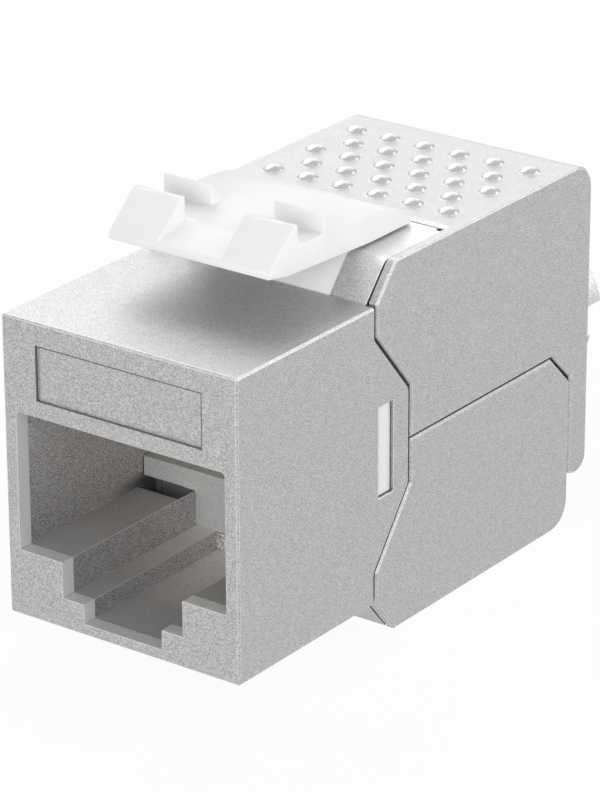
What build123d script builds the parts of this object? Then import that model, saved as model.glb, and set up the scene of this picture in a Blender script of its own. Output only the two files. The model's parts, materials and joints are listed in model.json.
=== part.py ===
from build123d import *
import os
from math import sqrt

# Shielded toolless keystone jack, in millimetres.
# X runs across the jack, Y from the front face to the cable end and Z up.
# While it is modelled, the origin is the middle of the front face's bottom edge.
# Each finished piece is then moved so that the origin is under the middle of the jack's box.

# Front face and the block behind it
FACE_WIDTH = 14.5
FACE_TOP_BAND = 5.05
BLOCK_REAR_MARGIN = 0.46
FRONT_WALL = 1.9
EDGE_BREAK = 0.1

# Plug opening, from the bottom up: the clip's channel, the step and the main bay
FLOOR_WALL = 0.62
CLIP_WIDTH = 4.9
CLIP_RISE = 1.06
STEP_WIDTH = 7.54
STEP_RISE = 1.95
PORT_WIDTH = 12.94
PORT_HEIGHT = 7.52
PORT_DEPTH = 10.85
PORT_CORNER = 0.25
SHELF_SLOT_LENGTH = 1.4
SHELF_SLOT_DROP = 1.0
SHELF_SLOT_MARGIN = 0.1

# Cheeks of the block that reach back between the doors' arms
CHEEK_LENGTH = 2.99
CHEEK_BOTTOM = 5.71
CHEEK_HEIGHT = 5.2
CHEEK_TOP_SLOPE = 3.55
CHEEK_BOTTOM_SLOPE = 3.95

# Label plate sunk in the front face, left bare
LABEL_WIDTH = 10.16
LABEL_HEIGHT = 2.86
LABEL_TOP_MARGIN = 1.27
LABEL_DEPTH = 0.12

# Neck that carries the doors, and the bay in it
NECK_LENGTH = 6.79
NECK_RISE = 1.9
NECK_DROP = 2.0
NECK_WALL = 0.65
NECK_TOP_RADIUS = 0.1
NECK_BOTTOM_RADIUS = 1.2
SHOULDER_RUN = 1.7
SHOULDER_RADIUS = 1.1
LOWER_SHOULDER_RUN = 1.75
CORNER_RELIEF = 0.35
BAY_FLOOR = 1.6
ROOF_WALL = 0.8
CEILING_STEP = 0.6

# Doors
DOOR_LENGTH = 19.69
DOOR_STEP = 0.07
DOOR_GAP = 0.17
ARM_WALL = 0.5
ARM_CLEARANCE = 0.1
SIDE_WALL = 0.8
DOOR_CORNER = 0.5
TOP_WALL = 0.9
TOP_WALL_SETBACK = 0.1
TOP_EDGE_RUN = 0.35
TOP_EDGE_DROP = 0.1
TOP_EDGE_LAND = 0.15
TOP_WALL_UNDERCUT = 0.2
TOP_REAR_RADIUS = 1.5
REAR_WALL = 1.7
SPLIT_HEIGHT = 8.1
SPLIT_GAP = 0.04
NOTCH_DROP = 1.84
NOTCH_GAP = 0.1
LAP_GAP = 0.06
LAP_BOTTOM = 0.3
LAP_SLOPE = 0.5
LAP_RADIUS = 0.9
LOWER_WALL = 1.04
LOWER_STEP = 0.05
LOWER_REAR_RADIUS = 1.5

# Door hinges: bosses on the arms turn in blind holes in the neck
HINGE_SETBACK = 1.99
UPPER_HINGE_DROP = 1.5
LOWER_HINGE_RISE = 1.85
BOSS_RADIUS = 0.9
BOSS_LENGTH = 1.2
BOSS_CLEARANCE = 0.05
BOSS_END_CLEARANCE = 0.1

# Raised dots on the upper door
DOT_RADIUS = 0.6
DOT_HEIGHT = 0.3
DOT_PITCH_X = 2.212
DOT_PITCH_Y = 1.86
DOT_ROWS = 5
DOT_LONG_ROW = 6
DOT_REAR_MARGIN = 3.42

# Cable collar, half on each door
CABLE_HEIGHT = 6.8
CABLE_RADIUS = 3.5
COLLAR_WALL = 0.8
COLLAR_GAP = 1.74
COLLAR_SLOT_CLEARANCE = 0.15
UPPER_COLLAR_LENGTH = 6.0
LOWER_COLLAR_LENGTH = 5.0
TIE_GROOVE_SETBACK = 2.2
TIE_GROOVE_WIDTH = 1.8
TIE_GROOVE_DEPTH = 0.3

# Keystone latch: plate, ramps, stops and tail
LATCH_WIDTH = 9.9
LATCH_FRONT = 5.67
LATCH_RISE = 1.83
LATCH_FALL = 0.17
LATCH_LIFT = 0.12
LIP_DROP = 0.69
LIP_HEIGHT = 0.38
BELLY_RUN = 1.68
BELLY_DROP = 1.35
RAMP_WIDTH = 3.0
RAMP_LENGTH = 2.39
RAMP_HEIGHT = 1.1
RAMP_LAND = 0.35
CATCH_GAP = 2.07
CATCH_ROOT = 0.3
STOP_LENGTH = 1.15
STOP_HEIGHT = 1.12
STOP_LAND = 0.1
TAIL_RADIUS = 5.0
TAIL_NOSE = 0.1
TAIL_CORNER = 0.3
TAIL_CLEARANCE = 0.25

# Latch leg in the neck's slot, with its two pins
LEG_INSET = 0.54
LEG_DEPTH = 2.8
LEG_REACH = 0.3
LEG_FRONT_CLEARANCE = 0.1
LEG_SIDE_CLEARANCE = 0.05
LEG_SWING = 0.4
LEG_SINK = 0.5
LATCH_PIN_RADIUS = 0.5
LATCH_PIN_LENGTH = 0.6
LATCH_PIN_ROOT = 0.5
LATCH_PIN_SETBACK = 2.0
LATCH_PIN_DROP = 0.75

# Plastic insert that carries the contacts
INSERT_CLEARANCE = 0.05
NOSE_BAR_RISE = 0.53
NOSE_BAR_HEIGHT = 1.11
NOSE_BAR_DEPTH = 0.93
NOSE_BAR_CLEARANCE = 0.08
LUG_SETBACK = 0.29
LUG_LENGTH = 1.33
LUG_REAR_WALL = 0.37
LUG_RISE = 0.04
LUG_HEIGHT = 5.0
LUG_SINK = 0.2
LUG_ROOT = 0.5

# Spring contacts and the comb that they lie in
CONTACTS = 8
CONTACT_PITCH = 1.02
CONTACT_WIDTH = 0.45
CONTACT_THICKNESS = 0.3
CONTACT_RUN_DROP = 1.3
CONTACT_FRONT = 3.7
CONTACT_TURN = 1.1
CONTACT_REACH = 2.25
CONTACT_TIP_GAP = 0.95
CONTACT_TIP_LENGTH = 0.6
CONTACT_TIP_RISE = 0.15
CONTACT_TOP_RADIUS = 0.44
CONTACT_NOSE_RADIUS = 0.275
CONTACT_TIP_RADIUS = 0.55
CONTACT_SLOT_CLEARANCE = 0.06
COMB_FRONT_CLEARANCE = 0.6
COMB_REACH = 1.5

# Circuit board
BOARD_THICKNESS = 1.2
BOARD_MARGIN = 0.4
BOARD_HOLE_CLEARANCE = 0.08

# Terminal block and its blades
LOWER_ROW_RISE = 1.0
UPPER_ROW_DROP = 1.1
TERMINALS_PER_ROW = 4
TERMINAL_PITCH = 2.7
TERMINAL_WIDTH = 1.7
TERMINAL_THICKNESS = 0.4
TERMINAL_REACH = 3.7
TERMINAL_CORNER_WIDTH = 0.3
TERMINAL_CORNER_LENGTH = 0.4
TERMINAL_PIN_WIDTH = 0.6
TERMINAL_PIN_SETBACK = 0.2
TERMINAL_SLOT_WIDTH = 0.34
TERMINAL_SLOT_LENGTH = 2.5
TERMINAL_MOUTH_WIDTH = 0.25
TERMINAL_MOUTH_LENGTH = 0.6
TERMINAL_CLEARANCE = 0.06
FLANGE_DEPTH = 2.4
FLANGE_MARGIN = 0.15
FLANGE_RISE = 0.7

# Wire cap
CAP_MARGIN = 0.25
CAP_REAR_GAP = 0.4
CAP_TOP_GAP = 1.97
CAP_BOTTOM_GAP = 1.51
CAP_CORNER = 0.8
CAP_TUNNEL_STEP = 0.1
CAP_FLOOR = 1.0
WIRE_SLOT_WIDTH = 1.2
WIRE_SLOT_DEPTH = 2.7
POCKET_CLEARANCE = 0.15

# How far a cut runs past the face it opens, and how far joined solids sink into each other
OVERRUN = 1.0
SINK = 0.1

# Places across the jack that follow from the sizes above
SIDE = FACE_WIDTH / 2
ARM_INSIDE = SIDE - ARM_WALL
DOOR_INSIDE = SIDE - SIDE_WALL
NECK_SIDE = ARM_INSIDE - ARM_CLEARANCE
BAY_SIDE = NECK_SIDE - NECK_WALL
INSERT_SIDE = BAY_SIDE - INSERT_CLEARANCE
LATCH_SIDE = LATCH_WIDTH / 2
LEG_SIDE = LATCH_SIDE - LEG_INSET
COLLAR_RADIUS = CABLE_RADIUS + COLLAR_WALL
COLLAR_SLOT_SIDE = COLLAR_RADIUS + COLLAR_SLOT_CLEARANCE

# Heights that follow
CLIP_FLOOR = FLOOR_WALL
STEP_FLOOR = CLIP_FLOOR + CLIP_RISE
PORT_FLOOR = STEP_FLOOR + STEP_RISE
PORT_TOP = PORT_FLOOR + PORT_HEIGHT
FACE_HEIGHT = PORT_TOP + FACE_TOP_BAND
LABEL_TOP = FACE_HEIGHT - LABEL_TOP_MARGIN
CHEEK_TOP = CHEEK_BOTTOM + CHEEK_HEIGHT
CHEEK_TOP_ROOT = CHEEK_TOP + CHEEK_TOP_SLOPE
CHEEK_BOTTOM_ROOT = CHEEK_BOTTOM - CHEEK_BOTTOM_SLOPE
NECK_TOP = FACE_HEIGHT + NECK_RISE
DOOR_TOP = NECK_TOP + DOOR_STEP
LOWER_DROP = NECK_DROP + LOWER_STEP
INNER_FLOOR = LOWER_WALL - LOWER_DROP
INNER_TOP = DOOR_TOP - TOP_WALL
TOP_EDGE_TOP = DOOR_TOP - TOP_EDGE_DROP
TOP_EDGE_BOTTOM = TOP_EDGE_TOP - TOP_EDGE_LAND
UPPER_HINGE_HEIGHT = NECK_TOP - UPPER_HINGE_DROP
LOWER_HINGE_HEIGHT = LOWER_HINGE_RISE - NECK_DROP
LATCH_TOP = NECK_TOP + LATCH_RISE
LATCH_REAR_TOP = LATCH_TOP - LATCH_FALL
LATCH_BELLY = LATCH_TOP - BELLY_DROP
LIP_TOP = LATCH_TOP - LIP_DROP
RAMP_TOP = LATCH_TOP + RAMP_HEIGHT
STOP_TOP = LATCH_TOP + STOP_HEIGHT
LATCH_PIN_HEIGHT = NECK_TOP - LATCH_PIN_DROP
LEG_BOTTOM = FACE_HEIGHT - LEG_REACH
LEG_SLOT_FLOOR = LEG_BOTTOM - LEG_SINK
BAY_TOP = LEG_SLOT_FLOOR - ROOF_WALL
CEILING_TOP = BAY_TOP - CEILING_STEP
INSERT_FLOOR = BAY_FLOOR + INSERT_CLEARANCE
INSERT_TOP = BAY_TOP - INSERT_CLEARANCE
NOSE_BAR_BOTTOM = PORT_FLOOR + NOSE_BAR_RISE
LUG_BOTTOM = CHEEK_BOTTOM + LUG_RISE
CONTACT_RUN_HEIGHT = CEILING_TOP - CONTACT_RUN_DROP
CONTACT_TIP_HEIGHT = PORT_TOP - CONTACT_REACH
TERMINAL_ROW_HEIGHTS = (BAY_FLOOR + LOWER_ROW_RISE, CONTACT_RUN_HEIGHT - UPPER_ROW_DROP)
CAP_TOP = INNER_TOP - CAP_TOP_GAP
CAP_BOTTOM = INNER_FLOOR + CAP_BOTTOM_GAP

# Depths that follow
BLOCK_DEPTH = PORT_DEPTH + BLOCK_REAR_MARGIN
CHEEK_REAR = BLOCK_DEPTH + CHEEK_LENGTH
NECK_REAR = BLOCK_DEPTH + NECK_LENGTH
HINGE_DEPTH = BLOCK_DEPTH + HINGE_SETBACK
DOOR_FRONT = BLOCK_DEPTH + DOOR_GAP
DOOR_REAR = BLOCK_DEPTH + DOOR_LENGTH
TOP_WALL_START = NECK_REAR + TOP_WALL_SETBACK
LAP_FRONT = DOOR_REAR - REAR_WALL
NOTCH_REAR = LAP_FRONT - LAP_GAP
NOTCH_START = NOTCH_REAR - NOTCH_DROP
INNER_REAR = NOTCH_REAR - LOWER_WALL
DOT_REAR_ROW = DOOR_REAR - DOT_REAR_MARGIN
UPPER_COLLAR_END = DOOR_REAR + UPPER_COLLAR_LENGTH
LOWER_COLLAR_END = DOOR_REAR + LOWER_COLLAR_LENGTH
TIE_GROOVE_START = DOOR_REAR + TIE_GROOVE_SETBACK
RAMP_REAR = LATCH_FRONT + RAMP_LENGTH
STOP_FRONT = RAMP_REAR + CATCH_GAP
STOP_REAR = STOP_FRONT + STOP_LENGTH
TAIL_REAR = NECK_REAR - TAIL_CLEARANCE
LEG_FRONT = BLOCK_DEPTH + LEG_FRONT_CLEARANCE
LEG_REAR = BLOCK_DEPTH + LEG_DEPTH
LATCH_PIN_DEPTH = BLOCK_DEPTH + LATCH_PIN_SETBACK
LUG_START = BLOCK_DEPTH + LUG_SETBACK
LUG_END = LUG_START + LUG_LENGTH
INSERT_REAR = LUG_END + LUG_REAR_WALL
CONTACT_TIP_DEPTH = PORT_DEPTH - CONTACT_TIP_GAP
BOARD_REAR = INSERT_REAR + BOARD_THICKNESS
FLANGE_REAR = NECK_REAR + FLANGE_DEPTH
CAP_REAR = INNER_REAR - CAP_REAR_GAP
LENGTH = max(UPPER_COLLAR_END, LOWER_COLLAR_END)


def outline(*corners):
    """Closed outline from (a, b) corners, a third value rounding that corner."""
    face = make_face(Polyline(*[corner[:2] for corner in corners], close=True))
    for corner in corners:
        if len(corner) == 3:
            vertex = face.vertices().sort_by_distance((corner[0], corner[1], 0))[0]
            face = fillet(vertex, corner[2])
    return face


def with_left_half(right_corners):
    """Corners of a right half, followed by those of its mirror image."""
    left_corners = [(-corner[0], *corner[1:]) for corner in reversed(right_corners)]
    return [*right_corners, *left_corners]


def side_profile(half_width, *corners):
    """Solid with the given (depth, height) outline, spread evenly about the middle."""
    return extrude(Plane.YZ * outline(*corners), amount=half_width, both=True)


def block(x_range, y_range, z_range):
    """Box between two places along each axis."""
    size = [high - low for low, high in (x_range, y_range, z_range)]
    middle = [(high + low) / 2 for low, high in (x_range, y_range, z_range)]
    return Pos(*middle) * Box(*size)


def bar_across(half_width, y_range, z_range):
    """Box spread evenly about the middle plane."""
    return block((-half_width, half_width), y_range, z_range)


def rod_along_x(radius, x_range, depth, height):
    """Round bar along X at a given depth and height."""
    length = x_range[1] - x_range[0]
    return Pos(sum(x_range) / 2, depth, height) * Rot(0, 90, 0) * Cylinder(radius, length)


def rod_along_y(radius, y_range, height):
    """Round bar along Y in the middle plane."""
    length = y_range[1] - y_range[0]
    return Pos(0, sum(y_range) / 2, height) * Rot(90, 0, 0) * Cylinder(radius, length)


def both_sides(right_piece):
    """A piece on the right and its mirror image on the left."""
    return right_piece + mirror(right_piece, Plane.YZ)


def around(middle, half):
    """Range that reaches equally far to both sides of a place."""
    return (middle - half, middle + half)


def contact_positions():
    """Places of the spring contacts across the jack."""
    middle = (CONTACTS - 1) / 2
    return [(index - middle) * CONTACT_PITCH for index in range(CONTACTS)]


def terminal_positions():
    """Place across the jack and height of each terminal blade."""
    middle = (TERMINALS_PER_ROW - 1) / 2
    columns = [(index - middle) * TERMINAL_PITCH for index in range(TERMINALS_PER_ROW)]
    return [(x, height) for height in TERMINAL_ROW_HEIGHTS for x in columns]


def housing_block():
    """Front block with the cheeks that reach back on both sides."""
    shape = side_profile(
        SIDE,
        (0, 0),
        (BLOCK_DEPTH, 0),
        (BLOCK_DEPTH, CHEEK_BOTTOM_ROOT),
        (CHEEK_REAR, CHEEK_BOTTOM),
        (CHEEK_REAR, CHEEK_TOP),
        (BLOCK_DEPTH, CHEEK_TOP_ROOT),
        (BLOCK_DEPTH, FACE_HEIGHT),
        (0, FACE_HEIGHT),
    )
    return chamfer(shape.edges(), EDGE_BREAK)


def housing_neck():
    """Neck between the doors' arms, with its sloping shoulders."""
    return side_profile(
        NECK_SIDE,
        (BLOCK_DEPTH - OVERRUN, 0),
        (BLOCK_DEPTH, 0),
        (BLOCK_DEPTH + LOWER_SHOULDER_RUN, -NECK_DROP),
        (NECK_REAR, -NECK_DROP, NECK_BOTTOM_RADIUS),
        (NECK_REAR, NECK_TOP, NECK_TOP_RADIUS),
        (BLOCK_DEPTH + SHOULDER_RUN, NECK_TOP, SHOULDER_RADIUS),
        (BLOCK_DEPTH, FACE_HEIGHT),
        (BLOCK_DEPTH - OVERRUN, FACE_HEIGHT),
    )


def port_cut():
    """Stepped opening for the plug."""
    right_corners = [
        (CLIP_WIDTH / 2, CLIP_FLOOR),
        (CLIP_WIDTH / 2, STEP_FLOOR),
        (STEP_WIDTH / 2, STEP_FLOOR),
        (STEP_WIDTH / 2, PORT_FLOOR),
        (PORT_WIDTH / 2, PORT_FLOOR),
        (PORT_WIDTH / 2, PORT_TOP, PORT_CORNER),
    ]
    face = outline(*with_left_half(right_corners))
    return extrude(Plane.XZ * face, amount=-PORT_DEPTH)


def window_cut():
    """Side windows for the insert's lugs."""
    right = block(
        (BAY_SIDE - OVERRUN, SIDE + OVERRUN),
        (LUG_START, LUG_END),
        (LUG_BOTTOM, LUG_BOTTOM + LUG_HEIGHT),
    )
    return both_sides(right)


def hinge_cut(height):
    """Blind holes in the neck for one door's bosses."""
    depth = BOSS_LENGTH - ARM_CLEARANCE + BOSS_END_CLEARANCE
    span = (NECK_SIDE - depth, NECK_SIDE + OVERRUN)
    return both_sides(rod_along_x(BOSS_RADIUS + BOSS_CLEARANCE, span, HINGE_DEPTH, height))


def latch_slot_cut():
    """Slot in the neck for the latch's leg, with the holes for its pins."""
    side = LEG_SIDE + LEG_SIDE_CLEARANCE
    slot = bar_across(side, (BLOCK_DEPTH, LEG_REAR + LEG_SWING), (LEG_SLOT_FLOOR, NECK_TOP + OVERRUN))
    span = (side - LATCH_PIN_ROOT, LEG_SIDE + LATCH_PIN_LENGTH + BOSS_END_CLEARANCE)
    pin_hole = rod_along_x(LATCH_PIN_RADIUS + BOSS_CLEARANCE, span, LATCH_PIN_DEPTH, LATCH_PIN_HEIGHT)
    return slot + both_sides(pin_hole)


def relief_cut():
    """Small square reliefs at the rear corners of the neck's top."""
    right = block(
        (NECK_SIDE - CORNER_RELIEF, NECK_SIDE + OVERRUN),
        (NECK_REAR - CORNER_RELIEF, NECK_REAR + OVERRUN),
        (NECK_TOP - 2 * CORNER_RELIEF, NECK_TOP + OVERRUN),
    )
    return both_sides(right)


def shelf_slot_cut():
    """Gap at the rear end of the two shelves beside the clip's channel."""
    right = block(
        (STEP_WIDTH / 2 + SHELF_SLOT_MARGIN, PORT_WIDTH / 2 - SHELF_SLOT_MARGIN),
        (PORT_DEPTH - SHELF_SLOT_LENGTH, PORT_DEPTH),
        (PORT_FLOOR - SHELF_SLOT_DROP, PORT_FLOOR + SINK),
    )
    return both_sides(right)


def front_housing():
    """Die-cast front body: face, plug opening, cheeks and neck."""
    body = housing_block() + housing_neck()
    body -= port_cut()
    body -= bar_across(BAY_SIDE, (PORT_DEPTH, NECK_REAR + OVERRUN), (BAY_FLOOR, BAY_TOP))
    body -= bar_across(BAY_SIDE, (FRONT_WALL, PORT_DEPTH), (PORT_TOP - OVERRUN, CEILING_TOP))
    body -= bar_across(LABEL_WIDTH / 2, (-OVERRUN, LABEL_DEPTH), (LABEL_TOP - LABEL_HEIGHT, LABEL_TOP))
    body -= window_cut()
    body -= hinge_cut(UPPER_HINGE_HEIGHT)
    body -= hinge_cut(LOWER_HINGE_HEIGHT)
    body -= latch_slot_cut()
    body -= relief_cut()
    body -= shelf_slot_cut()
    return body


def latch_plate():
    """Plate of the latch, from its front lip to its rounded tail."""
    under = NECK_TOP + LATCH_LIFT
    nose = under + TAIL_NOSE
    tail_drop = LATCH_REAR_TOP - TAIL_RADIUS - nose
    tail_start = TAIL_REAR - sqrt(TAIL_RADIUS ** 2 - tail_drop ** 2)
    edges = Polyline(
        (tail_start, LATCH_REAR_TOP),
        (STOP_REAR, LATCH_TOP),
        (RAMP_REAR, LATCH_TOP),
        (LATCH_FRONT, LIP_TOP),
        (LATCH_FRONT, LIP_TOP - LIP_HEIGHT),
        (LATCH_FRONT + BELLY_RUN, LATCH_BELLY),
        (BLOCK_DEPTH + SHOULDER_RUN + SHOULDER_RADIUS, under),
        (TAIL_REAR, under),
        (TAIL_REAR, nose),
    )
    tail = RadiusArc(edges @ 1, edges @ 0, -TAIL_RADIUS)
    plate = extrude(Plane.YZ * make_face([edges, tail]), amount=LATCH_SIDE, both=True)
    plan = outline(
        (-LATCH_SIDE, 0),
        (LATCH_SIDE, 0),
        (LATCH_SIDE, TAIL_REAR, TAIL_CORNER),
        (-LATCH_SIDE, TAIL_REAR, TAIL_CORNER),
    )
    return plate & extrude(plan, amount=STOP_TOP)


def latch_catches():
    """Two ramps and two stops that hold the edge of a panel between them."""
    ramp = side_profile(
        RAMP_WIDTH / 2,
        (LATCH_FRONT, LIP_TOP - SINK),
        (LATCH_FRONT, LIP_TOP),
        (RAMP_REAR - RAMP_LAND, RAMP_TOP),
        (RAMP_REAR, RAMP_TOP),
        (RAMP_REAR, LATCH_TOP - CATCH_ROOT),
    )
    stop = side_profile(
        RAMP_WIDTH / 2,
        (STOP_FRONT, LATCH_TOP - CATCH_ROOT),
        (STOP_FRONT, STOP_TOP),
        (STOP_FRONT + STOP_LAND, STOP_TOP),
        (STOP_REAR, LATCH_TOP),
        (STOP_REAR, LATCH_TOP - CATCH_ROOT),
    )
    return both_sides(Pos(LATCH_SIDE - RAMP_WIDTH / 2, 0, 0) * (ramp + stop))


def latch_leg():
    """Leg whose front lies level with the neck's shoulder, and its pins."""
    lean = SHOULDER_RUN / NECK_RISE * (LATCH_BELLY - FACE_HEIGHT)
    leg = side_profile(
        LEG_SIDE,
        (LEG_FRONT, LEG_BOTTOM),
        (LEG_FRONT, FACE_HEIGHT),
        (BLOCK_DEPTH + lean, LATCH_BELLY),
        (LEG_REAR, LATCH_BELLY),
        (LEG_REAR, LEG_BOTTOM),
    )
    pin_span = (LEG_SIDE - LATCH_PIN_ROOT, LEG_SIDE + LATCH_PIN_LENGTH)
    pin = rod_along_x(LATCH_PIN_RADIUS, pin_span, LATCH_PIN_DEPTH, LATCH_PIN_HEIGHT)
    return leg + both_sides(pin)


def keystone_latch():
    """White snap latch in one piece."""
    return latch_plate() + latch_catches() + latch_leg()


def hinge_bosses(height):
    """Round bosses on the inside of a door's arms."""
    span = (ARM_INSIDE - BOSS_LENGTH, ARM_INSIDE + SINK)
    return both_sides(rod_along_x(BOSS_RADIUS, span, HINGE_DEPTH, height))


def collar_half(start, end, heights):
    """Half of the cable collar with its groove for a tie, still without its bore."""
    groove_span = (TIE_GROOVE_START, TIE_GROOVE_START + TIE_GROOVE_WIDTH)
    groove = rod_along_y(COLLAR_RADIUS + OVERRUN, groove_span, CABLE_HEIGHT)
    groove -= rod_along_y(COLLAR_RADIUS - TIE_GROOVE_DEPTH, groove_span, CABLE_HEIGHT)
    ring = rod_along_y(COLLAR_RADIUS, (start, end), CABLE_HEIGHT) - groove
    return ring & bar_across(COLLAR_RADIUS + OVERRUN, (start, end), heights)


def door_dots():
    """Staggered rows of raised dots on the upper door."""
    sphere_radius = (DOT_RADIUS ** 2 + DOT_HEIGHT ** 2) / (2 * DOT_HEIGHT)
    centre_height = DOOR_TOP + DOT_HEIGHT - sphere_radius
    cap = bar_across(sphere_radius, around(0, sphere_radius), (DOOR_TOP - SINK, DOOR_TOP + OVERRUN))
    dome = Pos(0, 0, centre_height) * Sphere(sphere_radius) & cap
    dots = []
    for row in range(DOT_ROWS):
        count = DOT_LONG_ROW - row % 2
        for index in range(count):
            x = (index - (count - 1) / 2) * DOT_PITCH_X
            dots.append(Pos(x, DOT_REAR_ROW - row * DOT_PITCH_Y, 0) * dome)
    return dots


def arm_gap_cut():
    """Space between the upper door's arms, back to the sloping front edge of its top wall."""
    return side_profile(
        ARM_INSIDE,
        (BLOCK_DEPTH, SPLIT_HEIGHT - OVERRUN),
        (BLOCK_DEPTH, DOOR_TOP + OVERRUN),
        (TOP_WALL_START + TOP_EDGE_RUN, DOOR_TOP + OVERRUN),
        (TOP_WALL_START + TOP_EDGE_RUN, DOOR_TOP),
        (TOP_WALL_START, TOP_EDGE_TOP),
        (TOP_WALL_START, TOP_EDGE_BOTTOM),
        (TOP_WALL_START + TOP_WALL_UNDERCUT, INNER_TOP),
        (TOP_WALL_START + TOP_WALL_UNDERCUT, SPLIT_HEIGHT - OVERRUN),
    )


def upper_door():
    """Upper door, whose rear wall laps over the lower door."""
    split = SPLIT_HEIGHT + SPLIT_GAP
    shape = side_profile(
        SIDE,
        (CHEEK_REAR + DOOR_GAP, split),
        (CHEEK_REAR + DOOR_GAP, CHEEK_TOP + DOOR_GAP / 2),
        (DOOR_FRONT, CHEEK_TOP_ROOT + DOOR_GAP / 2),
        (DOOR_FRONT, FACE_HEIGHT + DOOR_GAP / 2),
        (BLOCK_DEPTH + SHOULDER_RUN + DOOR_GAP / 2, DOOR_TOP, DOOR_CORNER),
        (DOOR_REAR, DOOR_TOP, TOP_REAR_RADIUS),
        (DOOR_REAR, LAP_BOTTOM, LAP_RADIUS),
        (LAP_FRONT, LAP_BOTTOM + LAP_SLOPE),
        (LAP_FRONT, split - NOTCH_DROP + NOTCH_GAP),
        (NOTCH_START + NOTCH_GAP, split),
    )
    shape = chamfer(shape.edges().filter_by(Axis.X, reverse=True), EDGE_BREAK)
    collar_bottom = CABLE_HEIGHT + COLLAR_GAP / 2
    collar_top = CABLE_HEIGHT + COLLAR_RADIUS + OVERRUN
    shape += collar_half(LAP_FRONT, UPPER_COLLAR_END, (collar_bottom, collar_top))
    shape -= arm_gap_cut()
    shape -= bar_across(DOOR_INSIDE, (TOP_WALL_START - SINK, LAP_FRONT), (LAP_BOTTOM - OVERRUN, INNER_TOP))
    cable_way = (LAP_FRONT - OVERRUN, UPPER_COLLAR_END + OVERRUN)
    shape -= rod_along_y(CABLE_RADIUS, cable_way, CABLE_HEIGHT)
    shape -= bar_across(COLLAR_SLOT_SIDE, cable_way, (LAP_BOTTOM - OVERRUN, collar_bottom))
    shape += hinge_bosses(UPPER_HINGE_HEIGHT)
    for dot in door_dots():
        shape += dot
    return shape


def lower_door():
    """Lower door, lapped by the upper door's rear wall."""
    split = SPLIT_HEIGHT - SPLIT_GAP
    shape = side_profile(
        SIDE,
        (CHEEK_REAR + DOOR_GAP, split),
        (NOTCH_START, split),
        (NOTCH_REAR, split - NOTCH_DROP),
        (NOTCH_REAR, -LOWER_DROP, LOWER_REAR_RADIUS),
        (BLOCK_DEPTH + LOWER_SHOULDER_RUN + DOOR_GAP / 2, -LOWER_DROP),
        (DOOR_FRONT, -DOOR_GAP / 2),
        (DOOR_FRONT, CHEEK_BOTTOM_ROOT - DOOR_GAP / 2),
        (CHEEK_REAR + DOOR_GAP, CHEEK_BOTTOM - DOOR_GAP / 2),
    )
    shape = chamfer(shape.edges().filter_by(Axis.X, reverse=True), EDGE_BREAK)
    collar_bottom = CABLE_HEIGHT - COLLAR_RADIUS - OVERRUN
    collar_top = CABLE_HEIGHT - COLLAR_GAP / 2
    shape += collar_half(INNER_REAR, LOWER_COLLAR_END, (collar_bottom, collar_top))
    below = -LOWER_DROP - OVERRUN
    above = SPLIT_HEIGHT + OVERRUN
    shape -= bar_across(ARM_INSIDE, (BLOCK_DEPTH, TOP_WALL_START), (below, above))
    shape -= bar_across(DOOR_INSIDE, (TOP_WALL_START - SINK, INNER_REAR), (INNER_FLOOR, above))
    cable_way = (INNER_REAR - OVERRUN, LOWER_COLLAR_END + OVERRUN)
    shape -= rod_along_y(CABLE_RADIUS, cable_way, CABLE_HEIGHT)
    shape -= bar_across(CABLE_RADIUS, cable_way, (CABLE_HEIGHT, above))
    shape += hinge_bosses(LOWER_HINGE_HEIGHT)
    return shape


def insert_lugs():
    """Lugs of the insert that snap into the side windows."""
    outside = SIDE - LUG_SINK
    rear = LUG_END - INSERT_CLEARANCE
    heights = (LUG_BOTTOM + INSERT_CLEARANCE, LUG_BOTTOM + LUG_HEIGHT - INSERT_CLEARANCE)
    depths = (LUG_START + INSERT_CLEARANCE, rear)
    return both_sides(block((INSERT_SIDE - LUG_ROOT, outside), depths, heights))


def contact_carrier():
    """Plastic insert: rear panel, the bar that stops the plug's nose, ceiling comb and two lugs."""
    body = bar_across(INSERT_SIDE, (PORT_DEPTH, INSERT_REAR), (INSERT_FLOOR, INSERT_TOP))
    comb_depths = (FRONT_WALL + INSERT_CLEARANCE, PORT_DEPTH)
    body += bar_across(INSERT_SIDE, comb_depths, (PORT_TOP, CEILING_TOP - INSERT_CLEARANCE))
    nose_bar_side = PORT_WIDTH / 2 - NOSE_BAR_CLEARANCE
    nose_bar_heights = (NOSE_BAR_BOTTOM, NOSE_BAR_BOTTOM + NOSE_BAR_HEIGHT)
    body += bar_across(nose_bar_side, (PORT_DEPTH - NOSE_BAR_DEPTH, PORT_DEPTH), nose_bar_heights)
    body += insert_lugs()
    half_slot = CONTACT_WIDTH / 2 + CONTACT_SLOT_CLEARANCE
    run_heights = around(CONTACT_RUN_HEIGHT, CONTACT_THICKNESS / 2)
    slot_depths = (CONTACT_FRONT - COMB_FRONT_CLEARANCE, PORT_DEPTH + COMB_REACH)
    slot_heights = (CONTACT_TIP_HEIGHT - OVERRUN, run_heights[1])
    for x in contact_positions():
        body -= block(around(x, half_slot), slot_depths, slot_heights)
        body -= block(around(x, half_slot), (PORT_DEPTH, INSERT_REAR + OVERRUN), run_heights)
    return body


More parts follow.
